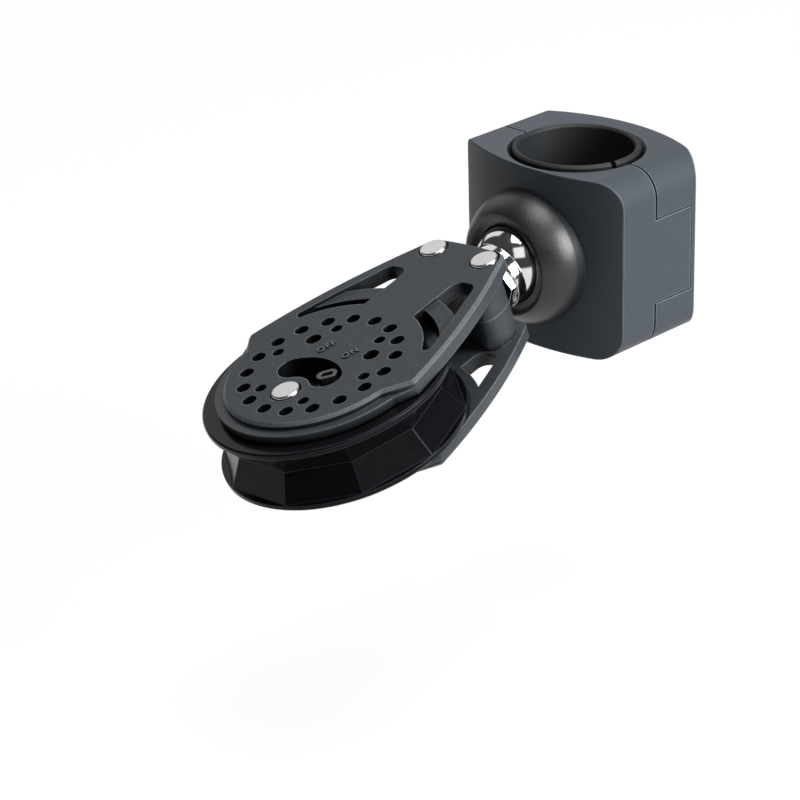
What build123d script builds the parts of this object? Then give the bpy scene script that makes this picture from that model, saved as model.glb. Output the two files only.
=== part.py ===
"""A ratchet block on a ball joint, clamped to an upright one inch tube.

Millimetres. The origin is on the tube's axis at the middle of the clamp, +Z runs up the tube,
and the ball joint looks along -Y. The block hangs from the ball, drooped and slightly rolled.
"""

import os
from math import asin, atan2, cos, degrees, radians, sin, sqrt

from build123d import *

os.makedirs("parts", exist_ok=True)


# Tube and split sleeve
tube_radius = 12.7
sleeve_wall = 1.4
sleeve_stand_out = 0.8
sleeve_slit = 1.2
sleeve_slit_angle = -13.0
sleeve_chamfer = 0.5
sleeve_fit = 0.05

# Clamp body
clamp_width = 46.0
clamp_height = 41.0
clamp_front_reach = 16.0
clamp_front_radius = 50.0
clamp_side_depth = 13.0
clamp_rear_radius = 42.0
clamp_seam = 0.5
clamp_right_corner = 6.0
clamp_left_corner = 2.0
clamp_dish = 1.2

# Tongue of the front half in the rear half
tongue_height = 19.2
tongue_depth = 11.6
tongue_thickness = 5.4
tongue_gap = 0.25

# Clamp screws and their thread inserts
screw_radius = 2.0
screw_head_radius = 3.5
screw_head_height = 4.0
screw_socket_across = 3.0
screw_socket_depth = 2.2
screw_across = 37.0
screw_up = 28.4
screw_seat_y = 7.0
screw_tip_y = -7.0
insert_radius = 2.9
insert_length = 7.0
screw_clearance = 0.2

# Ball joint
ball_radius = 9.0
ball_reach = 19.4
ball_cut = 1.8
socket_clearance = 0.2
socket_floor = 15.1
seat_radius = 11.0
seat_fit = 0.1
boss_radius = 12.5
boss_root = 2.0
ring_fit = 0.1
ring_radius = 15.1
ring_land = 0.4
ring_crest_radius = 11.4
ring_shoulder_radius = 13.7
ring_crest_reach = 23.3
throat_reach = 22.25

# Ball stud, from the ball towards the block
head_stand_off = 11.1
neck_radius = 7.3
relief_radius = 6.6
relief_width = 0.5
hex_circle = 7.6
hex_thickness = 1.6
hex_gap = 0.3
head_wall = 3.0
shank_radius = 3.0
shank_fit = 0.08
washer_thickness = 0.8
collar_radius = 5.0
collar_thickness = 2.2
collar_play = 0.1

# Attitude of the block at rest
droop = 15.4
roll = 6.1
swing = 1.0

# Cheeks
cheek_inside = 7.3
cheek_thickness = 3.2
plateau_step = 1.5
plateau_bevel = 0.6
head_sag = 0.6
head_end = 47.2
head_half_width = 10.4
flank_middle = (19.7, 25.0)
shoulder = (25.4, 2.6)
tail_radius = 23.2
plateau_radius = 21.1
foot_angle = -5.5
plateau_foot_angle = -8.0
head_corner = 3.2
shoulder_corner = 1.2
foot_corner = 2.0

# Lightening holes of a cheek
hole_ring_radius = 16.5
hole_ring_count = 18
hole_radius = 1.55
small_ring_radius = 13.1
small_hole_radius = 1.28
pin_hole_at = (8.8, 6.5)
pin_hole_radius = 1.75

# Windows of a cheek and the rib that crosses them
window_inside = 7.4
window_arc = 22.0
window_top = (12.9, 34.6)
window_middle = (16.3, 25.0)
window_foot = (20.3, 12.6)
window_foot_cut = 1.0
window_top_corner = 2.5
window_corner = 0.6
rib_inner = 25.2
rib_outer = 29.2
rib_recess = 0.8

# Head post between the cheeks
post_clearance_radius = 36.0
post_half_width = 11.6
post_corner = 7.0
post_inner_corner = 3.0
post_front = 46.2
post_overlap = 0.5
post_tuck = 4.0

# Rivets
rivet_radius = 2.0
rivet_head_radius = 3.1
rivet_head_sink = 0.8
rivet_head_proud = 0.5
rivet_gap = 0.05
rivet_seat_gap = 0.3
head_rivet_at = (7.7, 42.9)
hub_rivet_y = -10.2

# Hub, bearing balls and sheave
hub_radius = 16.6
race_radius = 18.1
bearing_ball_radius = 2.0
bearing_ball_count = 16
bearing_height = 4.5
race_gap = 0.05
sheave_bore = 19.6
sheave_radius = 26.7
sheave_half_width = 7.0
flange_edge = 1.3
flange_bevel = 0.35
groove_radius = 21.9
groove_sides = 10
groove_mouth = 25.3

# Ratchet teeth in the sheave and the pawl
tooth_count = 24
tooth_root = 20.2
tooth_tip = 18.5
tooth_land = 1.5
tooth_half_height = 2.0
pawl_bottom = -1.7
pawl_top = 1.0
pawl_flank_angle = 104.0
pawl_gap_angle = 5.5
pawl_lift = 14.0
pawl_boss = 2.6
pawl_tail = 7.4
pawl_tail_width = 2.2
pawl_pin_radius = 1.2
pin_fit = 0.08
pin_floor = 2.0
pocket_half_width = 3.3
pocket_mouth_left = 2.2
pocket_mouth_right = 8.3
pocket_mouth_past = 2.0
pocket_tail_gap = 1.2
pocket_tail_ahead = 16.0
pocket_tail_behind = 17.0
pawl_shoulder = (2.4, 0.9)
pawl_nose_gap = 1.2
pawl_heel_gap = 0.9
pawl_back_gap = 0.5
pawl_back_angle = 2.0
spring_wire = 0.6
spring_gap = 0.15
spring_rise = 0.1
spring_leg = 8.0
spring_leg_x = 1.2

# Switch opening and lever
switch_radius = 8.6
switch_half_width = 3.5
switch_spread = 35.0
lever_on = 25.0
lever_reach = 12.3
lever_spread = 20.0
lever_boss = 3.8
lever_thickness = 1.3
lever_gap = 0.2
lever_rim_gap = 0.7
lever_stop_angle = 4.0
lever_boss_gap = 0.4
lever_tab_width = 3.0
lever_tab_turn = -20.0
lever_tab_inner = 6.9
lever_tab_outer = 11.3
lever_tab_wall = 0.8
lever_tab_below_top = 0.3
peg_reach = 11.4
peg_radius = 1.0
peg_gap = 0.4
peg_slot_end = 3.0
peg_tail_gap = 0.1


# Derived sizes of the clamp
sleeve_radius = tube_radius + sleeve_wall
clamp_bore = sleeve_radius + sleeve_fit
half_width = clamp_width / 2
half_height = clamp_height / 2
front_sag = clamp_front_radius - sqrt(clamp_front_radius**2 - half_width**2)
rear_sag = clamp_rear_radius - sqrt(clamp_rear_radius**2 - half_width**2)
front_corner = clamp_front_reach - front_sag

# Derived sizes of the ball joint, measured from the ball's centre
ball_centre = Vector(0, -ball_reach, 0)
socket_radius = ball_radius + socket_clearance
floor_back = ball_reach - socket_floor
throat_ahead = throat_reach - ball_reach
crest_ahead = ring_crest_reach - ball_reach
throat_radius = sqrt(socket_radius**2 - throat_ahead**2)
hex_end = head_stand_off - (head_end - post_front) - hex_gap
neck_end = hex_end - hex_thickness
washer_start = head_stand_off + head_wall
collar_start = washer_start + washer_thickness + collar_play
collar_end = collar_start + collar_thickness
block_reach = post_front + head_stand_off

# Frame of the block: x across it, y towards its head, z up through its cheeks
along = Vector(0, 1, 0).rotate(Axis.X, droop).rotate(Axis.Z, swing)
across = Vector(1, 0, 0).rotate(Axis.Z, swing).rotate(Axis((0, 0, 0), along), -roll)
upward = across.cross(along)
sheave_centre = ball_centre - along * block_reach
block_frame = Plane(origin=sheave_centre, x_dir=across, z_dir=upward)
block_section = Plane(origin=sheave_centre, x_dir=across, z_dir=-along)
sheave_axis = Axis(sheave_centre, upward)

# Frames of the ball joint: local x is radial, local y runs out of the socket or down the stud
socket_section = Plane(origin=ball_centre, x_dir=(1, 0, 0), z_dir=(0, 0, -1))
socket_axis = Axis(ball_centre, (0, 1, 0))
stud_section = Plane(origin=ball_centre, x_dir=across, z_dir=-upward)
stud_axis = Axis(ball_centre, along)

# Heights in the block
cheek_top = cheek_inside + cheek_thickness
lever_top = cheek_inside - lever_gap
lever_floor = lever_top - lever_thickness - lever_gap
tab_top = cheek_top - lever_tab_below_top


def polar(radius, angle, centre=(0, 0)):
    """A point at a radius and an angle in degrees from a centre."""
    x = centre[0] + radius * cos(radians(angle))
    y = centre[1] + radius * sin(radians(angle))
    return (x, y)


def keep(builder, name):
    """Label a finished piece and write it."""
    builder.part.label = name
    export_step(builder.part, f"parts/{name}.step")


# One half of the clamp before its bore, on its seam side flat
def clamp_half(side_y, sag, seam_y):
    with BuildPart() as half:
        with BuildSketch(Plane.XY.offset(-half_height)):
            with BuildLine():
                Line((-half_width, seam_y), (-half_width, side_y))
                ThreePointArc((-half_width, side_y), (0, side_y + sag), (half_width, side_y))
                Line((half_width, side_y), (half_width, seam_y))
                Line((half_width, seam_y), (-half_width, seam_y))
            make_face()
        extrude(amount=clamp_height)
        running_back = half.edges().filter_by(Axis.Y)
        fillet(running_back.filter_by(lambda e: e.center().X > 0), clamp_right_corner)
        running_back = half.edges().filter_by(Axis.Y)
        fillet(running_back.filter_by(lambda e: e.center().X < 1 - half_width), clamp_left_corner)
    return half.part


# The bore of the clamp with its shallow countersinks
with BuildPart() as clamp_bore_tool:
    dish_outer = clamp_bore + clamp_dish
    with BuildSketch(Plane.XZ):
        with BuildLine():
            Polyline(
                (0, -half_height - clamp_dish),
                (dish_outer + clamp_dish, -half_height - clamp_dish),
                (clamp_bore, clamp_dish - half_height),
                (clamp_bore, half_height - clamp_dish),
                (dish_outer + clamp_dish, half_height + clamp_dish),
                (0, half_height + clamp_dish),
                close=True,
            )
        make_face()
    revolve(axis=Axis.Z)

screw_spots = [(x * screw_across / 2, z * screw_up / 2) for x in (-1, 1) for z in (-1, 1)]

# Front half of the clamp, with the tongue and the boss of the ball joint
tongue_x = half_width - tongue_thickness / 2
with BuildPart() as clamp_front:
    add(clamp_half(-front_corner, -front_sag, -clamp_seam / 2))
    with BuildSketch(Plane.XZ.offset(clamp_seam)):
        with Locations((tongue_x, 0)):
            Rectangle(tongue_thickness, tongue_height)
    extrude(amount=-(tongue_depth + clamp_seam))
    with BuildSketch(socket_section):
        with BuildLine():
            Polyline(
                (0, -floor_back - boss_root),
                (boss_radius, -floor_back - boss_root),
                (boss_radius, 0),
                (seat_radius + seat_fit, 0),
                (seat_radius + seat_fit, -floor_back),
                (0, -floor_back),
                close=True,
            )
        make_face()
    revolve(axis=socket_axis)
    with BuildSketch(socket_section):
        with Locations(((seat_radius + seat_fit) / 2, 0)):
            Rectangle(seat_radius + seat_fit, 2 * floor_back)
    revolve(axis=socket_axis, mode=Mode.SUBTRACT)
    add(clamp_bore_tool.part, mode=Mode.SUBTRACT)
    with BuildSketch(Plane.XZ.offset(clamp_seam / 2)):
        with Locations(*screw_spots):
            Circle(insert_radius)
    extrude(amount=insert_length, mode=Mode.SUBTRACT)
keep(clamp_front, "clamp_front")

# Rear half of the clamp, with the pocket of the tongue and the screw seats
with BuildPart() as clamp_rear:
    add(clamp_half(clamp_side_depth, rear_sag, clamp_seam / 2))
    with BuildSketch(Plane.XZ):
        with Locations((tongue_x, 0)):
            Rectangle(tongue_thickness + 2 * tongue_gap, tongue_height + 2 * tongue_gap)
    extrude(amount=-(tongue_depth + tongue_gap), mode=Mode.SUBTRACT)
    add(clamp_bore_tool.part, mode=Mode.SUBTRACT)
    with BuildSketch(Plane.XZ):
        with Locations(*screw_spots):
            Circle(screw_radius + screw_clearance)
    extrude(amount=-clamp_width, mode=Mode.SUBTRACT)
    with BuildSketch(Plane.XZ.offset(-screw_seat_y)):
        with Locations(*screw_spots):
            Circle(screw_head_radius + screw_clearance)
    extrude(amount=-clamp_width, mode=Mode.SUBTRACT)
keep(clamp_rear, "clamp_rear")

# Four socket head screws put in from behind
with BuildPart() as clamp_screws:
    with BuildSketch(Plane.XZ.offset(-screw_tip_y)):
        with Locations(*screw_spots):
            Circle(screw_radius)
    extrude(amount=-(screw_seat_y - screw_tip_y))
    with BuildSketch(Plane.XZ.offset(-screw_seat_y)):
        with Locations(*screw_spots):
            Circle(screw_head_radius)
    extrude(amount=-screw_head_height)
    with BuildSketch(Plane.XZ.offset(-(screw_seat_y + screw_head_height))):
        with Locations(*screw_spots):
            RegularPolygon(screw_socket_across / 2, 6, major_radius=False)
    extrude(amount=screw_socket_depth, mode=Mode.SUBTRACT)
keep(clamp_screws, "clamp_screws")

# Brass inserts that take the screws in the front half
with BuildPart() as thread_inserts:
    with BuildSketch(Plane.XZ.offset(clamp_seam / 2)):
        with Locations(*screw_spots):
            Circle(insert_radius)
            Circle(screw_radius, mode=Mode.SUBTRACT)
    extrude(amount=insert_length)
keep(thread_inserts, "thread_inserts")

# Split sleeve between the clamp and the tube
with BuildPart() as stanchion_sleeve:
    with BuildSketch(Plane.XY.offset(-half_height - sleeve_stand_out)):
        Circle(sleeve_radius)
        Circle(tube_radius, mode=Mode.SUBTRACT)
        with Locations(polar(tube_radius, sleeve_slit_angle)):
            Rectangle(4 * sleeve_wall, sleeve_slit, rotation=sleeve_slit_angle, mode=Mode.SUBTRACT)
    extrude(amount=clamp_height + 2 * sleeve_stand_out)
    chamfer(edges().group_by(Axis.Z)[-1].filter_by(GeomType.CIRCLE), sleeve_chamfer)
    chamfer(edges().group_by(Axis.Z)[0].filter_by(GeomType.CIRCLE), sleeve_chamfer)
keep(stanchion_sleeve, "stanchion_sleeve")

# Domed ring that screws over the boss and holds the ball
with BuildPart() as socket_ring:
    land_ahead = clamp_front_reach + ring_land - ball_reach
    with BuildSketch(socket_section):
        with BuildLine():
            Line((boss_radius + ring_fit, 0.05), (boss_radius + ring_fit, -2 * floor_back))
            Line((boss_radius + ring_fit, -2 * floor_back), (ring_radius, -2 * floor_back))
            Line((ring_radius, -2 * floor_back), (ring_radius, land_ahead))
            dome = ThreePointArc(
                (ring_radius, land_ahead),
                (ring_shoulder_radius, (2 * land_ahead + 3 * crest_ahead) / 5),
                (ring_crest_radius, crest_ahead),
            )
            TangentArc(dome @ 1, (throat_radius, throat_ahead), tangent=(-1, 0))
            RadiusArc((throat_radius, throat_ahead), (sqrt(socket_radius**2 - 0.05**2), 0.05), socket_radius)
            Line((sqrt(socket_radius**2 - 0.05**2), 0.05), (boss_radius + ring_fit, 0.05))
        make_face()
    revolve(axis=socket_axis)
    with BuildSketch(Plane.XY.offset(-clamp_height)):
        with Locations((0, clamp_front_radius - clamp_front_reach)):
            Circle(clamp_front_radius)
    extrude(amount=2 * clamp_height, mode=Mode.SUBTRACT)
keep(socket_ring, "socket_ring")

# Loose nylon seat ring behind the ball
with BuildPart() as ball_seat:
    seat_back = -floor_back + seat_fit
    seat_front = -seat_fit
    back_radius = sqrt(socket_radius**2 - seat_back**2)
    front_radius = sqrt(socket_radius**2 - seat_front**2)
    with BuildSketch(socket_section):
        with BuildLine():
            Line((seat_radius, seat_back), (seat_radius, seat_front))
            Line((seat_radius, seat_front), (front_radius, seat_front))
            RadiusArc((front_radius, seat_front), (back_radius, seat_back), socket_radius)
            Line((back_radius, seat_back), (seat_radius, seat_back))
        make_face()
    revolve(axis=socket_axis)
keep(ball_seat, "ball_seat")

# Stainless stud: ball, neck, hexagon, shank and collar
with BuildPart() as ball_stud:
    cut_radius = sqrt(ball_radius**2 - ball_cut**2)
    neck_start = sqrt(ball_radius**2 - neck_radius**2)
    with BuildSketch(stud_section):
        with BuildLine():
            Line((0, -ball_cut), (cut_radius, -ball_cut))
            ThreePointArc((cut_radius, -ball_cut), (ball_radius, 0), (neck_radius, neck_start))
            Polyline(
                (neck_radius, neck_start),
                (neck_radius, neck_end - relief_width),
                (relief_radius, neck_end - relief_width),
                (relief_radius, neck_end),
                (shank_radius, neck_end),
                (shank_radius, collar_start),
                (collar_radius, collar_start),
                (collar_radius, collar_end),
                (0, collar_end),
                (0, -ball_cut),
            )
        make_face()
    revolve(axis=stud_axis)
    hexagon_plane = Plane(origin=ball_centre - along * neck_end, x_dir=across, z_dir=-along)
    with BuildSketch(hexagon_plane):
        RegularPolygon(hex_circle, 6)
    extrude(amount=hex_end - neck_end)
keep(ball_stud, "ball_stud")

# Thrust washer under the collar, inside the head
with BuildPart() as thrust_washer:
    with BuildSketch(Plane(origin=ball_centre - along * washer_start, x_dir=across, z_dir=-along)):
        Circle(collar_radius)
        Circle(shank_radius + shank_fit, mode=Mode.SUBTRACT)
    extrude(amount=washer_thickness)
keep(thrust_washer, "thrust_washer")


# Outline of a cheek with a given tail, drawn on the right and mirrored
def cheek_outline(tail, angle_of_foot):
    foot = polar(tail, angle_of_foot)
    head_y = head_end - head_sag
    with BuildSketch() as outline:
        with BuildLine():
            ThreePointArc((-head_half_width, head_y), (0, head_end), (head_half_width, head_y))
            for side in (1, -1):
                ThreePointArc(
                    (side * head_half_width, head_y),
                    (side * flank_middle[0], flank_middle[1]),
                    (side * shoulder[0], shoulder[1]),
                )
                Line((side * shoulder[0], shoulder[1]), (side * foot[0], foot[1]))
            ThreePointArc((-foot[0], foot[1]), (0, -tail), (foot[0], foot[1]))
        make_face()
        fillet(outline.vertices().filter_by(lambda v: v.Y > head_y - 1), head_corner)
        fillet(outline.vertices().filter_by(lambda v: abs(v.X) > shoulder[0] - 0.5), shoulder_corner)
        fillet(outline.vertices().filter_by(lambda v: -6 < v.Y < 0), foot_corner)
    return outline.sketch


# Both windows of a cheek
def cheek_windows():
    start = (window_inside, sqrt(window_arc**2 - window_inside**2))
    foot_aim = atan2(window_foot[1] - window_foot_cut, window_foot[0] - window_foot_cut)
    foot = polar(window_arc, degrees(foot_aim))
    half_angle = (degrees(atan2(start[1], start[0])) + degrees(atan2(foot[1], foot[0]))) / 2
    with BuildSketch() as windows:
        with BuildLine():
            Line((window_inside, window_top[1]), start)
            ThreePointArc(start, polar(window_arc, half_angle), foot)
            Line(foot, window_foot)
            ThreePointArc(window_foot, window_middle, window_top)
            Line(window_top, (window_inside, window_top[1]))
        make_face()
        fillet(windows.vertices().filter_by(lambda v: v.Y > window_top[1] - 1), window_top_corner)
        fillet(windows.vertices().filter_by(lambda v: v.Y < window_top[1] - 5), window_corner)
        mirror(about=Plane.YZ)
    return windows.sketch


# Ring in which the windows are crossed by a rib
with BuildSketch() as rib_ring:
    Circle(rib_outer)
    Circle(rib_inner, mode=Mode.SUBTRACT)

rivet_spots = [head_rivet_at, (-head_rivet_at[0], head_rivet_at[1]), (0, hub_rivet_y)]

for side, name in ((1, "cheek_upper"), (-1, "cheek_lower")):
    outer_face = block_frame.offset(side * cheek_top)
    with BuildPart() as cheek:
        with BuildSketch(block_frame.offset(side * cheek_inside)):
            add(cheek_outline(tail_radius, foot_angle))
        extrude(amount=side * (cheek_thickness - plateau_step))
        with BuildSketch(block_frame.offset(side * (cheek_top - plateau_step))):
            add(cheek_outline(plateau_radius, plateau_foot_angle))
        extrude(amount=side * plateau_step)
        top_face = cheek.faces().sort_by(Axis(sheave_centre, upward * side))[-1]
        chamfer(top_face.outer_wire().edges(), plateau_bevel)

        # Half of the head post, down to the middle of the block
        with BuildSketch(block_frame) as post:
            with Locations((0, (post_front + post_clearance_radius - post_tuck) / 2)):
                Rectangle(2 * post_half_width, post_front - post_clearance_radius + post_tuck)
            fillet(post.vertices().group_by(Axis.Y)[-1], post_corner)
            Circle(post_clearance_radius, mode=Mode.SUBTRACT)
            fillet(post.vertices().group_by(Axis.Y)[0], post_inner_corner)
        extrude(amount=side * (cheek_inside + post_overlap))

        # Windows, open but for the recessed rib that crosses them
        with BuildSketch(outer_face):
            add(cheek_windows())
        extrude(amount=-side * rib_recess, mode=Mode.SUBTRACT)
        with BuildSketch(outer_face):
            add(cheek_windows())
            add(rib_ring.sketch, mode=Mode.SUBTRACT)
        extrude(amount=-side * cheek_thickness, mode=Mode.SUBTRACT)

        # Lightening holes
        with BuildSketch(outer_face):
            with PolarLocations(hole_ring_radius, hole_ring_count, start_angle=90):
                Circle(hole_radius)
            with PolarLocations(small_ring_radius, 6):
                Circle(small_hole_radius)
            with Locations(pin_hole_at, (-pin_hole_at[0], pin_hole_at[1])):
                Circle(pin_hole_radius)
        extrude(amount=-side * cheek_thickness, mode=Mode.SUBTRACT)

        # Room for the stud's shank, washer and collar in the head
        with BuildSketch(stud_section):
            with BuildLine():
                Polyline(
                    (0, hex_end - 1),
                    (shank_radius + shank_fit, hex_end - 1),
                    (shank_radius + shank_fit, washer_start - collar_play),
                    (collar_radius + 2 * shank_fit, washer_start - collar_play),
                    (collar_radius + 2 * shank_fit, collar_end + collar_play),
                    (0, collar_end + collar_play),
                    close=True,
                )
            make_face()
        revolve(axis=stud_axis, mode=Mode.SUBTRACT)

        # Rivet holes with their head seats
        with BuildSketch(outer_face):
            with Locations(*rivet_spots):
                Circle(rivet_head_radius + rivet_seat_gap)
        extrude(amount=-side * rivet_head_sink, mode=Mode.SUBTRACT)
        with BuildSketch(outer_face):
            with Locations(*rivet_spots):
                Circle(rivet_radius + rivet_gap)
        extrude(amount=-side * cheek_top, mode=Mode.SUBTRACT)

        # Opening over the switch lever, in the upper cheek only
        if side > 0:
            with BuildSketch(outer_face):
                with BuildLine(mode=Mode.PRIVATE) as switch_path:
                    CenterArc((0, hub_rivet_y), switch_radius, 90 - switch_spread, 2 * switch_spread)
                SlotArc(arc=switch_path.wire(), height=2 * switch_half_width)
            extrude(amount=-cheek_thickness, mode=Mode.SUBTRACT)
    keep(cheek, name)


# A rivet with a low rounded head at each end
def rivet(spot):
    head_start = cheek_top - rivet_head_sink
    rivet_axis = Axis(sheave_centre + across * spot[0] + along * spot[1], upward)
    with BuildPart() as whole:
        with BuildSketch(block_frame.offset(-head_start)):
            with Locations(spot):
                Circle(rivet_radius)
        extrude(amount=2 * head_start)
        for end in (1, -1):
            with BuildSketch(block_frame.offset(end * head_start)):
                with Locations(spot):
                    Circle(rivet_head_radius)
            extrude(amount=end * (rivet_head_sink + rivet_head_proud))
        rims = whole.edges().filter_by(GeomType.CIRCLE).sort_by(rivet_axis)
        fillet((rims[0], rims[-1]), rivet_head_proud)
    return whole.part


with BuildPart() as head_rivets:
    for spot in rivet_spots[:2]:
        add(rivet(spot))
keep(head_rivets, "head_rivets")

with BuildPart() as hub_rivet:
    add(rivet(rivet_spots[2]))
keep(hub_rivet, "hub_rivet")

# Pivot of the pawl, and the way its tail points so that the lever's peg just lifts it
pawl_pivot = (-pin_hole_at[0], pin_hole_at[1])
peg_slot_spread = lever_on + degrees(asin(peg_radius / peg_reach)) + peg_slot_end
peg_off = polar(peg_reach, 90 + lever_on, (0, hub_rivet_y))
peg_from_pawl = (peg_off[0] - pawl_pivot[0], peg_off[1] - pawl_pivot[1])
peg_distance = sqrt(peg_from_pawl[0] ** 2 + peg_from_pawl[1] ** 2)
tail_clearance = pawl_tail_width / 2 + peg_radius + peg_tail_gap
tail_angle = (
    degrees(atan2(peg_from_pawl[1], peg_from_pawl[0]))
    - degrees(asin(tail_clearance / peg_distance))
    + pawl_lift
)
pitch = 360 / tooth_count


# Sector about the hub rivet, reaching an angle each side of its aim
def sector(radius, aim, spread):
    pivot = (0, hub_rivet_y)
    with BuildSketch() as wedge:
        with BuildLine():
            Line(pivot, polar(radius, aim - spread, pivot))
            CenterArc(pivot, radius, aim - spread, 2 * spread)
            Line(polar(radius, aim + spread, pivot), pivot)
        make_face()
    return wedge.sketch


# Hub that spaces the cheeks and carries the bearing, the pawl and the lever
with BuildPart() as hub:
    with BuildSketch(block_frame.offset(-cheek_inside)):
        Circle(hub_radius)
    extrude(amount=2 * cheek_inside)
    for height in (bearing_height, -bearing_height):
        with BuildSketch(block_section):
            with Locations((race_radius, height)):
                Circle(bearing_ball_radius + race_gap)
        revolve(axis=sheave_axis, mode=Mode.SUBTRACT)
    with BuildSketch(block_frame.offset(lever_floor)):
        add(sector(lever_reach + lever_rim_gap, 90, lever_on + lever_spread + lever_stop_angle))
        with Locations((0, hub_rivet_y)):
            Circle(lever_boss + lever_boss_gap)
    extrude(amount=cheek_inside - lever_floor, mode=Mode.SUBTRACT)
    with BuildSketch(block_frame.offset(-tooth_half_height)):
        with BuildLine(mode=Mode.PRIVATE) as peg_path:
            CenterArc((0, hub_rivet_y), peg_reach, 90 - peg_slot_spread, 2 * peg_slot_spread)
        SlotArc(arc=peg_path.wire(), height=2 * (peg_radius + peg_gap))
    extrude(amount=cheek_inside + tooth_half_height, mode=Mode.SUBTRACT)
    with BuildSketch(block_frame.offset(-tooth_half_height)):
        with Locations(pawl_pivot):
            Circle(pocket_half_width)
        with BuildLine():
            Polyline(
                (pawl_pivot[0] - pocket_half_width, pawl_pivot[1]),
                (pawl_pivot[0] - pocket_mouth_left, hub_radius + pocket_mouth_past),
                (pawl_pivot[0] + pocket_mouth_right, hub_radius + pocket_mouth_past),
                (pawl_pivot[0] + pocket_half_width, pawl_pivot[1]),
                polar(pawl_tail + pocket_tail_gap, tail_angle + pocket_tail_ahead, pawl_pivot),
                polar(pawl_tail + pocket_tail_gap, tail_angle - pawl_lift - pocket_tail_behind, pawl_pivot),
                close=True,
            )
        make_face()
    extrude(amount=2 * tooth_half_height, mode=Mode.SUBTRACT)
    with BuildSketch(block_frame.offset(pin_floor - cheek_inside)):
        with Locations(pawl_pivot):
            Circle(pawl_pin_radius)
    extrude(amount=2 * cheek_inside, mode=Mode.SUBTRACT)
    with BuildSketch(block_frame.offset(-cheek_inside)):
        with Locations((0, hub_rivet_y)):
            Circle(rivet_radius + rivet_gap)
    extrude(amount=2 * cheek_inside, mode=Mode.SUBTRACT)
keep(hub, "hub")

# One space between the ratchet teeth
with BuildSketch() as tooth_space:
    with BuildLine():
        Polyline(
            polar(tooth_tip - 1, pawl_flank_angle),
            polar(tooth_root, pawl_flank_angle),
            polar(tooth_tip, pawl_flank_angle + pitch - tooth_land),
            polar(tooth_tip - 1, pawl_flank_angle + pitch - tooth_land),
            close=True,
        )
    make_face()

# Sheave with a faceted groove, two ball races and internal ratchet teeth
with BuildPart() as sheave:
    flange_start = sheave_half_width - flange_edge
    corner_scale = 1 / cos(radians(180 / groove_sides))
    for side in (1, -1):
        with BuildSketch(block_frame):
            RegularPolygon(groove_radius * corner_scale, groove_sides)
        with BuildSketch(block_frame.offset(side * flange_start)):
            RegularPolygon(groove_mouth * corner_scale, groove_sides)
        loft()
        with BuildSketch(block_frame.offset(side * flange_start)):
            Circle(sheave_radius)
        extrude(amount=side * flange_edge)
        rim = sheave.faces().sort_by(Axis(sheave_centre, upward * side))[-1]
        chamfer(rim.outer_wire().edges(), flange_bevel)
    with BuildSketch(block_frame.offset(-sheave_half_width)):
        Circle(sheave_radius)
    extrude(amount=2 * sheave_half_width, mode=Mode.INTERSECT)
    with BuildSketch(block_frame.offset(-sheave_half_width)):
        Circle(sheave_bore)
    extrude(amount=sheave_half_width - tooth_half_height, mode=Mode.SUBTRACT)
    with BuildSketch(block_frame.offset(tooth_half_height)):
        Circle(sheave_bore)
    extrude(amount=sheave_half_width - tooth_half_height, mode=Mode.SUBTRACT)
    for height in (bearing_height, -bearing_height):
        with BuildSketch(block_section):
            with Locations((race_radius, height)):
                Circle(bearing_ball_radius + race_gap)
        revolve(axis=sheave_axis, mode=Mode.SUBTRACT)
    with BuildSketch(block_frame.offset(-tooth_half_height)):
        Circle(tooth_tip)
        with PolarLocations(0, tooth_count):
            add(tooth_space.sketch)
    extrude(amount=2 * tooth_half_height, mode=Mode.SUBTRACT)
keep(sheave, "sheave")

# Two rows of bearing balls
for height, name in ((bearing_height, "upper_balls"), (-bearing_height, "lower_balls")):
    with BuildPart() as balls:
        with Locations(block_frame.offset(height)):
            with PolarLocations(race_radius, bearing_ball_count):
                Sphere(bearing_ball_radius)
    keep(balls, name)

# Pawl: boss on its pin, arm with its nose in a tooth space, and tail by the lever's peg
with BuildPart() as pawl:
    with BuildSketch(block_frame.offset(pawl_bottom)):
        with Locations(pawl_pivot):
            Circle(pawl_boss)
        with BuildLine():
            Polyline(
                polar(tooth_root - pawl_nose_gap, pawl_flank_angle + pawl_gap_angle),
                polar(tooth_tip - pawl_heel_gap, pawl_flank_angle + pawl_gap_angle),
                (pawl_pivot[0] + pawl_shoulder[0], pawl_pivot[1] + pawl_shoulder[1]),
                (pawl_pivot[0] - pawl_shoulder[0], pawl_pivot[1] + pawl_shoulder[1]),
                polar(tooth_tip - pawl_back_gap, pawl_flank_angle + pitch - pawl_back_angle),
                close=True,
            )
        make_face()
        with Locations(polar(pawl_tail / 2, tail_angle, pawl_pivot)):
            Rectangle(pawl_tail, pawl_tail_width, rotation=tail_angle)
        with Locations(pawl_pivot):
            Circle(pawl_pin_radius + pin_fit, mode=Mode.SUBTRACT)
    extrude(amount=pawl_top - pawl_bottom)
keep(pawl, "pawl")

# Pin of the pawl, pressed in the hub
with BuildPart() as pawl_pin:
    with BuildSketch(block_frame.offset(pin_floor - cheek_inside)):
        with Locations(pawl_pivot):
            Circle(pawl_pin_radius)
    extrude(amount=2 * cheek_inside - pin_floor)
keep(pawl_pin, "pawl_pin")

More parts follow.
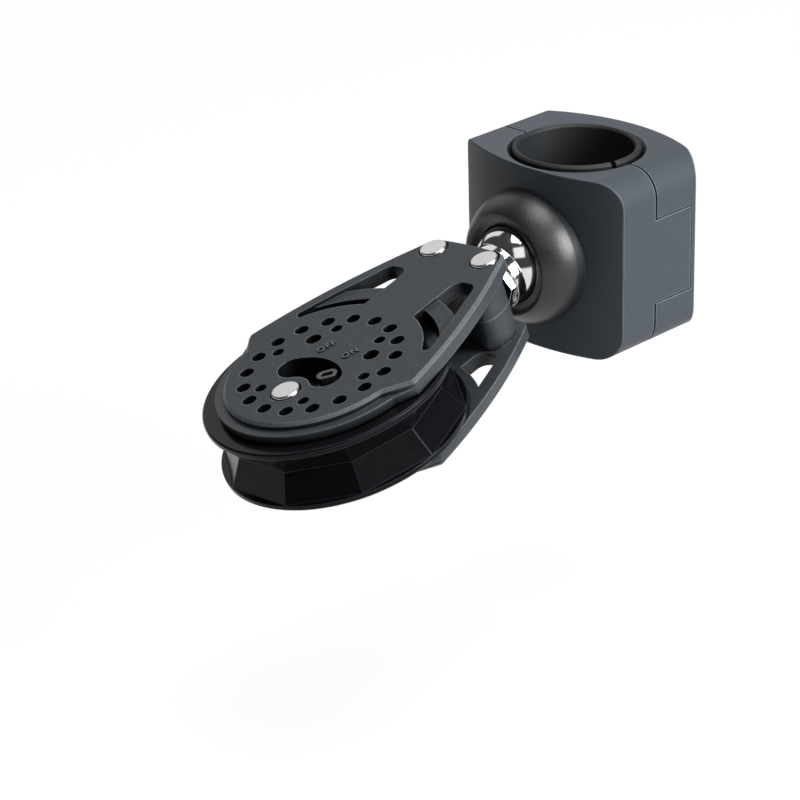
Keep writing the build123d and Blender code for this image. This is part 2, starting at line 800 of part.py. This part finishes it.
# Torsion spring on the pin, with one leg on the pocket's wall and one along the arm
with BuildPart() as pawl_spring:
    with BuildSketch(block_frame.offset(pawl_top + spring_rise)):
        with Locations(pawl_pivot):
            Circle(pawl_pin_radius + spring_gap + spring_wire)
        with Locations((pawl_pivot[0] - pocket_half_width / 2, pawl_pivot[1])):
            Rectangle(pocket_half_width - 0.1, spring_wire)
        with Locations((pawl_pivot[0] + spring_leg_x, pawl_pivot[1] + spring_leg / 2)):
            Rectangle(spring_wire, spring_leg)
        with Locations(pawl_pivot):
            Circle(pawl_pin_radius + spring_gap, mode=Mode.SUBTRACT)
    extrude(amount=spring_wire)
keep(pawl_spring, "pawl_spring")

# Switch lever: plate under the cheek, tab in the opening and peg for the pawl
with BuildPart() as switch_lever:
    pivot = (0, hub_rivet_y)
    aim = 90 - lever_on
    with BuildSketch(block_frame.offset(lever_top - lever_thickness)):
        add(sector(lever_reach, aim, lever_spread))
        with Locations(pivot):
            Circle(lever_boss)
            Circle(rivet_radius + 2 * rivet_gap, mode=Mode.SUBTRACT)
    extrude(amount=lever_thickness)
    with BuildSketch(block_frame.offset(lever_top - 0.1)):
        with Locations(polar((lever_tab_inner + lever_tab_outer) / 2, aim, pivot)):
            SlotOverall(lever_tab_outer - lever_tab_inner, lever_tab_width, rotation=aim + lever_tab_turn)
            SlotOverall(
                lever_tab_outer - lever_tab_inner - 2 * lever_tab_wall,
                lever_tab_width - 2 * lever_tab_wall,
                rotation=aim + lever_tab_turn,
                mode=Mode.SUBTRACT,
            )
    extrude(amount=tab_top - lever_top + 0.1)
    with BuildSketch(block_frame.offset(lever_top)):
        with Locations(polar(peg_reach, aim, pivot)):
            Circle(peg_radius)
    extrude(amount=-(lever_top + tooth_half_height - 0.4))
keep(switch_lever, "switch_lever")
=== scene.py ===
import math

import bpy
from mathutils import Matrix, Vector


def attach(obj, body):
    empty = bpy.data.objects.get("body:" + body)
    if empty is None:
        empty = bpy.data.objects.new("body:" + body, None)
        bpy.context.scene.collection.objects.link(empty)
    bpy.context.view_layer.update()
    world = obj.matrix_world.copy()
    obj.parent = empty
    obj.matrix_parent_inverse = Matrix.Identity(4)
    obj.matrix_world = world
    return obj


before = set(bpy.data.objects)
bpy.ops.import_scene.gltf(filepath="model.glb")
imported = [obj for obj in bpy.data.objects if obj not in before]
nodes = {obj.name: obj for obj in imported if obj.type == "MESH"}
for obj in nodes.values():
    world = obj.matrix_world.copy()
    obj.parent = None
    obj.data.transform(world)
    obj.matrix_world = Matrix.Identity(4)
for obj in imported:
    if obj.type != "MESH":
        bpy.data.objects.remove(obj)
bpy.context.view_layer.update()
scene = bpy.context.scene

# Lengths are in metres, as in part.py's frame; letters and their spots are laid out in millimetres
MM = 0.001

# The block's own frame: x across it, y towards its head, z up through its cheeks
LEAN, TIP, SWING = math.radians(15.4), math.radians(6.1), math.radians(1.0)
BALL_CENTRE = Vector((0, -0.0194, 0))
BLOCK_REACH = 0.0573
swing_turn = Matrix.Rotation(SWING, 3, "Z")
along = swing_turn @ Vector((0, math.cos(LEAN), math.sin(LEAN)))
across = Matrix.Rotation(-TIP, 3, along) @ (swing_turn @ Vector((1, 0, 0)))
upward = across.cross(along)
sheave_centre = BALL_CENTRE - along * BLOCK_REACH
block_axes = Matrix((across, along, upward)).transposed().to_4x4()
block_matrix = Matrix.Translation(sheave_centre) @ block_axes

# Heights over the sheave's middle plane, and the radius round its axis that holds the switch
CHEEK_INSIDE = (0.0068, 0.0072)
PLATEAU_FOOT = (0.0093, 0.0096)
PLATEAU_TOP = 10.5 * MM
LETTER_FACE = (0.01055, 0.01065)
SWITCH_AREA = (0.0125, 0.0118)

# Noise scales, and where a noise leaves its dark and reaches its pale colour
GRAIN_SCALE = 2600.0
FLECK_RANGE = (0.32, 0.68)
PLASTIC_IOR = 1.5


# Node helpers
def new_material(name):
    material = bpy.data.materials.new(name)
    material.use_nodes = True
    tree = material.node_tree
    return material, tree, tree.nodes["Principled BSDF"]


def link(tree, a, b):
    tree.links.new(a, b)


def noise(tree, scale, detail=4.0, rough=0.55, coords=None):
    node = tree.nodes.new("ShaderNodeTexNoise")
    node.inputs["Scale"].default_value = scale
    node.inputs["Detail"].default_value = detail
    node.inputs["Roughness"].default_value = rough
    if coords is None:
        coords = tree.nodes.new("ShaderNodeTexCoord").outputs["Object"]
    link(tree, coords, node.inputs["Vector"])
    return node.outputs["Fac"]


def ramp(tree, fac, low, high, at=FLECK_RANGE):
    node = tree.nodes.new("ShaderNodeValToRGB")
    for element, place, colour in zip(node.color_ramp.elements, at, (low, high)):
        element.position = place
        element.color = (*colour, 1)
    link(tree, fac, node.inputs["Fac"])
    return node.outputs["Color"]


# A value from 0 to 1 spread over low to high
def span(tree, fac, low, high):
    node = tree.nodes.new("ShaderNodeMapRange")
    node.inputs["To Min"].default_value = low
    node.inputs["To Max"].default_value = high
    link(tree, fac, node.inputs["Value"])
    return node.outputs["Result"]


# 0 where the value is low, 1 where it is high, clamped
def window(tree, value, low, high):
    node = tree.nodes.new("ShaderNodeMapRange")
    node.inputs["From Min"].default_value = low
    node.inputs["From Max"].default_value = high
    link(tree, value, node.inputs["Value"])
    return node.outputs["Result"]


def maths(tree, kind, a, b):
    node = tree.nodes.new("ShaderNodeMath")
    node.operation = kind
    for value, socket in zip((a, b), node.inputs):
        if isinstance(value, float):
            socket.default_value = value
        else:
            link(tree, value, socket)
    return node.outputs[0]


def times(tree, a, b):
    return maths(tree, "MULTIPLY", a, b)


def rest_of(tree, value):
    return maths(tree, "SUBTRACT", 1.0, value)


def vector_maths(tree, kind, a, b=None):
    node = tree.nodes.new("ShaderNodeVectorMath")
    node.operation = kind
    link(tree, a, node.inputs[0])
    if isinstance(b, Vector):
        node.inputs[1].default_value = tuple(b)
    elif b is not None:
        link(tree, b, node.inputs[1])
    return node.outputs["Value"] if kind in ("DOT_PRODUCT", "LENGTH") else node.outputs["Vector"]


# Size of a vector's part along a fixed direction, less an offset
def along_axis(tree, vector, axis, offset=0.0):
    part = maths(tree, "SUBTRACT", vector_maths(tree, "DOT_PRODUCT", vector, axis), offset)
    return maths(tree, "ABSOLUTE", part, 0.0)


# Distance from the sheave's axis
def axis_distance(tree, vector):
    offset = vector_maths(tree, "SUBTRACT", vector, sheave_centre)
    return vector_maths(tree, "LENGTH", vector_maths(tree, "CROSS_PRODUCT", offset, upward))


def bump(tree, height, strength, distance, normal):
    node = tree.nodes.new("ShaderNodeBump")
    node.inputs["Strength"].default_value = strength
    node.inputs["Distance"].default_value = distance
    link(tree, height, node.inputs["Height"])
    link(tree, normal, node.inputs["Normal"])
    return node.outputs["Normal"]


def rounded(tree, radius):
    node = tree.nodes.new("ShaderNodeBevel")
    node.samples = 6
    node.inputs["Radius"].default_value = radius
    return node.outputs["Normal"]


# How far the rounded edge's normal leaves the surface's own, from 0 to 1
def edge_mask(tree, bevelled):
    own = tree.nodes.new("ShaderNodeNewGeometry").outputs["True Normal"]
    return window(tree, vector_maths(tree, "DOT_PRODUCT", bevelled, own), 0.995, 0.93)


def mix_colour(tree, fac, a, b):
    node = tree.nodes.new("ShaderNodeMix")
    node.data_type = "RGBA"
    link(tree, fac, node.inputs["Factor"])
    # Sockets 6 and 7 are the colours A and B, and output 2 is the colour
    for value, index in ((a, 6), (b, 7)):
        if isinstance(value, tuple):
            node.inputs[index].default_value = (*value, 1)
        else:
            link(tree, value, node.inputs[index])
    return node.outputs[2]


# From 0 in tight gaps, holes and inside corners to 1 in the open
def openness(tree, reach, low, high):
    node = tree.nodes.new("ShaderNodeAmbientOcclusion")
    node.samples = 8
    node.inputs["Distance"].default_value = reach
    return window(tree, node.outputs["AO"], low, high)


def scaled(colour, factor, lift=0.0):
    return tuple(min(1.0, c * factor + lift) for c in colour)


# Moulded plastic: faint mottle, spark-eroded skin, rounded edges with a painted highlight and some wear, and
# painted shade in gaps, holes and inside corners
def plastic(name, colour, rough, grain=0.00004, scale=GRAIN_SCALE, edge=0.0004, highlight_and_wear_gain=1.5, gloss=0.5, mottle=0.08):
    material, tree, shader = new_material(name)
    mottles = noise(tree, 1500.0, 4.0, 0.7)
    flecks = ramp(tree, mottles, scaled(colour, 1 - mottle), scaled(colour, 1 + mottle))
    bevelled = rounded(tree, edge)
    # Painted highlight with some wear: rounded edges turn paler, outside the painted shade
    edge_highlight_and_wear = times(tree, edge_mask(tree, bevelled), span(tree, noise(tree, 900.0, 3.0), 0.5, 1.0))
    # Painted shade: gaps, holes and inside corners darken to an eighth of the colour
    clear = openness(tree, 0.0016, 0.3, 0.85)
    colours = mix_colour(tree, clear, scaled(colour, 0.12), flecks)
    colours = mix_colour(tree, times(tree, edge_highlight_and_wear, clear), colours, scaled(colour, highlight_and_wear_gain, 0.004))
    link(tree, colours, shader.inputs["Base Color"])
    roughness = span(tree, noise(tree, 420.0, 3.0), rough - 0.05, rough + 0.06)
    link(tree, roughness, shader.inputs["Roughness"])
    skin = bump(tree, noise(tree, scale, 3.0, 0.6), 0.6, grain, bevelled)
    link(tree, skin, shader.inputs["Normal"])
    shader.inputs["Specular IOR Level"].default_value = gloss
    shader.inputs["IOR"].default_value = PLASTIC_IOR
    return material


# Metal: near mirror to brushed, with faint scratches
def metal(name, colour, rough, scratch=0.00001):
    material, tree, shader = new_material(name)
    shader.inputs["Metallic"].default_value = 1.0
    coords = tree.nodes.new("ShaderNodeTexCoord").outputs["Object"]
    mapping = tree.nodes.new("ShaderNodeMapping")
    mapping.inputs["Scale"].default_value = (1, 1, 30)
    link(tree, coords, mapping.inputs["Vector"])
    streak = noise(tree, 900.0, 4.0, 0.6, mapping.outputs["Vector"])
    tone = ramp(tree, noise(tree, 240.0), scaled(colour, 0.92), colour, (0.3, 0.7))
    link(tree, tone, shader.inputs["Base Color"])
    roughness = span(tree, streak, max(0.02, rough * 0.7), rough * 1.35)
    link(tree, roughness, shader.inputs["Roughness"])
    skin = bump(tree, streak, 0.4, scratch, rounded(tree, 0.0003))
    link(tree, skin, shader.inputs["Normal"])
    return material


# The cheeks: a spark-eroded plateau, a paler bevel round it painted as a lit band, smooth walls and post, painted
# shade near walls and in holes and windows, and pale edges that are a painted highlight
def cheek_finish():
    material, tree, shader = new_material("cheek_skin")
    coords = tree.nodes.new("ShaderNodeTexCoord")
    place = coords.outputs["Object"]
    height = along_axis(tree, place, upward, sheave_centre.dot(upward))
    facing = along_axis(tree, coords.outputs["Normal"], upward)
    flat = window(tree, facing, 0.86, 0.97)
    not_flat = rest_of(tree, flat)
    leaning = window(tree, facing, 0.25, 0.5)
    upright = rest_of(tree, leaning)
    plateau = times(tree, window(tree, height, *PLATEAU_FOOT), flat)
    letters = times(tree, window(tree, height, *LETTER_FACE), 0.5)

    flecks = noise(tree, 1300.0, 4.0, 0.7)
    smooth = ramp(tree, noise(tree, 500.0, 3.0), (0.034, 0.040, 0.046), (0.042, 0.048, 0.055))
    top = ramp(tree, flecks, (0.026, 0.031, 0.036), (0.043, 0.050, 0.057))
    # Painted light: the bevel round the plateau is paler, standing in for the lit band along it
    slope = ramp(tree, flecks, (0.064, 0.074, 0.084), (0.102, 0.115, 0.127))
    pale = ramp(tree, flecks, (0.105, 0.118, 0.130), (0.170, 0.188, 0.205))
    colour = mix_colour(tree, plateau, smooth, top)
    colour = mix_colour(tree, letters, colour, pale)
    colour = mix_colour(tree, times(tree, leaning, not_flat), colour, slope)

    # Painted shade: faces that look up darken only close to a wall; walls of holes and windows are painted almost
    # black
    upper_open = times(tree, flat, openness(tree, 0.0012, 0.35, 0.75))
    cheek_walls = times(tree, upright, window(tree, height, *CHEEK_INSIDE))
    shade = times(tree, cheek_walls, rest_of(tree, openness(tree, 0.0080, 0.55, 0.90)))
    wall_open = times(tree, not_flat, openness(tree, 0.0040, 0.45, 0.85))
    wall_open = times(tree, wall_open, rest_of(tree, shade))
    # Painted shade: the walls of the switch opening are painted black
    hole_walls = times(tree, window(tree, axis_distance(tree, place), *SWITCH_AREA), upright)
    clear = times(tree, maths(tree, "ADD", upper_open, wall_open), rest_of(tree, hole_walls))
    colour = mix_colour(tree, clear, (0.003, 0.0034, 0.004), colour)
    # Painted highlight: rounded edges turn pale, outside the painted shade
    bevelled = rounded(tree, 0.0004)
    colour = mix_colour(tree, times(tree, edge_mask(tree, bevelled), clear), colour, pale)
    link(tree, colour, shader.inputs["Base Color"])

    rough = maths(tree, "ADD", times(tree, plateau, 0.16), span(tree, flecks, 0.34, 0.44))
    link(tree, rough, shader.inputs["Roughness"])
    grain = times(tree, noise(tree, GRAIN_SCALE, 3.0, 0.6), maths(tree, "ADD", plateau, 0.25))
    link(tree, bump(tree, grain, 0.6, 0.00006, bevelled), shader.inputs["Normal"])
    shader.inputs["Specular IOR Level"].default_value = 0.22
    shader.inputs["IOR"].default_value = PLASTIC_IOR
    return material


# Each finish's edge gain sets how bright the painted highlight along its edges is, with some wear
clamp_skin = plastic(
    "clamp_skin", (0.054, 0.064, 0.076), 0.40, grain=0.00002, edge=0.0006, highlight_and_wear_gain=3.4, gloss=0.13, mottle=0.05
)
ring_skin = plastic(
    "ring_skin",
    (0.008, 0.0095, 0.011),
    0.38,
    grain=0.00006,
    scale=2000.0,
    edge=0.0005,
    highlight_and_wear_gain=10.0,
    gloss=0.60,
    mottle=0.12,
)
sleeve_skin = plastic("sleeve_skin", (0.016, 0.018, 0.020), 0.5, gloss=0.3)
sheave_skin = plastic(
    "sheave_skin", (0.004, 0.0045, 0.0055), 0.20, grain=0.000006, edge=0.0003, highlight_and_wear_gain=9.0, gloss=0.12
)
cheek_skin = cheek_finish()
seat_skin = plastic("seat_skin", (0.62, 0.60, 0.55), 0.45)
ball_skin = plastic("ball_skin", (0.72, 0.71, 0.67), 0.3)
lever_skin = plastic("lever_skin", (0.018, 0.019, 0.021), 0.28, edge=0.0002, highlight_and_wear_gain=9.0)
mirror_steel = metal("mirror_steel", (0.72, 0.72, 0.73), 0.10, 0.000003)
rivet_steel = metal("rivet_steel", (0.62, 0.62, 0.62), 0.22, 0.000002)
screw_steel = metal("screw_steel", (0.62, 0.62, 0.62), 0.26)
pawl_steel = metal("pawl_steel", (0.42, 0.42, 0.43), 0.32)
insert_brass = metal("insert_brass", (0.72, 0.52, 0.24), 0.28)
hub_metal = metal("hub_metal", (0.05, 0.052, 0.056), 0.38)

finish_of = {
    "clamp_front": clamp_skin,
    "clamp_rear": clamp_skin,
    "clamp_screws": screw_steel,
    "thread_inserts": insert_brass,
    "stanchion_sleeve": sleeve_skin,
    "socket_ring": ring_skin,
    "ball_seat": seat_skin,
    "ball_stud": mirror_steel,
    "thrust_washer": rivet_steel,
    "cheek_upper": cheek_skin,
    "cheek_lower": cheek_skin,
    "head_rivets": rivet_steel,
    "hub_rivet": rivet_steel,
    "hub": hub_metal,
    "sheave": sheave_skin,
    "upper_balls": ball_skin,
    "lower_balls": ball_skin,
    "pawl": pawl_steel,
    "pawl_pin": pawl_steel,
    "pawl_spring": pawl_steel,
    "switch_lever": lever_skin,
}
for name, material in finish_of.items():
    mesh = nodes[name].data
    mesh.materials.clear()
    mesh.materials.append(material)

# The switch's words stand up from the plateau; the spots are in the block's own x and y
LETTER_SIZE, LETTER_HEIGHT, LETTER_WEIGHT = 0.0023, 0.0003, 0.00005
LETTER_SPACE = 1.15
LETTER_TURN = math.radians(72)


def lettering(name, word, spot):
    curve = bpy.data.curves.new(name, "FONT")
    curve.body = word
    curve.size = LETTER_SIZE
    curve.extrude = LETTER_HEIGHT
    curve.align_x = "CENTER"
    curve.align_y = "CENTER"
    curve.space_character = LETTER_SPACE
    curve.offset = LETTER_WEIGHT
    text = bpy.data.objects.new(name, curve)
    scene.collection.objects.link(text)
    bpy.context.view_layer.update()
    mesh = bpy.data.meshes.new_from_object(text)
    bpy.data.objects.remove(text)
    piece = bpy.data.objects.new(name, mesh)
    scene.collection.objects.link(piece)
    spot_on_plateau = Vector((spot[0] * MM, spot[1] * MM, PLATEAU_TOP))
    place = Matrix.Translation(spot_on_plateau) @ Matrix.Rotation(LETTER_TURN, 4, "Z")
    mesh.transform(block_matrix @ place)
    mesh.materials.clear()
    mesh.materials.append(cheek_skin)
    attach(piece, "block")


lettering("word_off", "OFF", (-3.25, 5.1))
lettering("word_on", "ON", (3.9, 5.1))


# The floor lights the object as grey paint, and is almost white to the camera and in reflections
FLOOR_REACH, FLOOR_LEVEL = 6.0, -0.085
FLOOR_PAINT = (0.22, 0.22, 0.22, 1)
SHADOW_SHARE = 0.12


def make_floor():
    mesh = bpy.data.meshes.new("floor")
    corners = ((-1, -1), (1, -1), (1, 1), (-1, 1))
    mesh.from_pydata([(x * FLOOR_REACH, y * FLOOR_REACH, FLOOR_LEVEL) for x, y in corners], [], [(0, 1, 2, 3)])
    floor = bpy.data.objects.new("floor", mesh)
    scene.collection.objects.link(floor)
    material, tree, shader = new_material("floor_paint")
    shader.inputs["Base Color"].default_value = FLOOR_PAINT
    shader.inputs["Roughness"].default_value = 0.9
    white = tree.nodes.new("ShaderNodeEmission")
    white.inputs["Strength"].default_value = 1.0
    matt = tree.nodes.new("ShaderNodeBsdfDiffuse")
    matt.inputs["Color"].default_value = (0.9, 0.9, 0.9, 1)
    backdrop = tree.nodes.new("ShaderNodeMixShader")
    backdrop.inputs["Fac"].default_value = SHADOW_SHARE
    link(tree, white.outputs["Emission"], backdrop.inputs[1])
    link(tree, matt.outputs["BSDF"], backdrop.inputs[2])
    rays = tree.nodes.new("ShaderNodeLightPath").outputs
    seen = maths(tree, "MAXIMUM", rays["Is Camera Ray"], rays["Is Glossy Ray"])
    seen = maths(tree, "MAXIMUM", seen, rays["Is Transmission Ray"])
    blend = tree.nodes.new("ShaderNodeMixShader")
    link(tree, seen, blend.inputs["Fac"])
    link(tree, shader.outputs["BSDF"], blend.inputs[1])
    link(tree, backdrop.outputs["Shader"], blend.inputs[2])
    link(tree, blend.outputs["Shader"], tree.nodes["Material Output"].inputs["Surface"])
    mesh.materials.append(material)


make_floor()

# A dim, even world and four soft lamps
world = bpy.data.worlds.new("studio")
scene.world = world
world.use_nodes = True
world.node_tree.nodes["Background"].inputs["Color"].default_value = (1, 1, 1, 1)
world.node_tree.nodes["Background"].inputs["Strength"].default_value = 0.06

LAMP_TARGET = Vector((0, -0.04, -0.01))


def softbox(name, place, size, power):
    light = bpy.data.lights.new(name, "AREA")
    light.shape = "RECTANGLE"
    light.size, light.size_y = size
    light.energy = power
    lamp = bpy.data.objects.new(name, light)
    scene.collection.objects.link(lamp)
    lamp.location = place
    lamp.rotation_mode = "QUATERNION"
    lamp.rotation_quaternion = (LAMP_TARGET - Vector(place)).to_track_quat("-Z", "Y")


softbox("key", (0.88, 0.26, 0.42), (0.5, 0.6), 17.0)
softbox("card", (0.58, -0.42, 0.66), (0.5, 0.5), 0.9)
softbox("top", (0.12, 0.05, 0.98), (0.6, 0.6), 7.2)
softbox("behind", (-0.80, 0.35, 0.58), (1.0, 0.9), 2.6)

# Camera at the photograph's place, fitted to the clamp's edges
CAMERA_PLACE = (0.38829, -0.42528, 0.23010)
CAMERA_FORWARD = Vector((-0.65573, 0.62476, -0.423902))
CAMERA_RIGHT = Vector((0.698738, 0.714857, -0.027292))

camera = bpy.data.cameras.new("camera")
camera.sensor_width = 36.0
camera.lens = 126.0
camera.clip_start, camera.clip_end = 0.01, 50.0
eye = bpy.data.objects.new("camera", camera)
scene.collection.objects.link(eye)
forward = CAMERA_FORWARD.normalized()
up = CAMERA_RIGHT.cross(forward).normalized()
right = forward.cross(up).normalized()
view_axes = Matrix((right, up, -forward)).transposed().to_4x4()
eye.matrix_world = Matrix.Translation(CAMERA_PLACE) @ view_axes
scene.camera = eye
scene.view_settings.view_transform = "Standard"
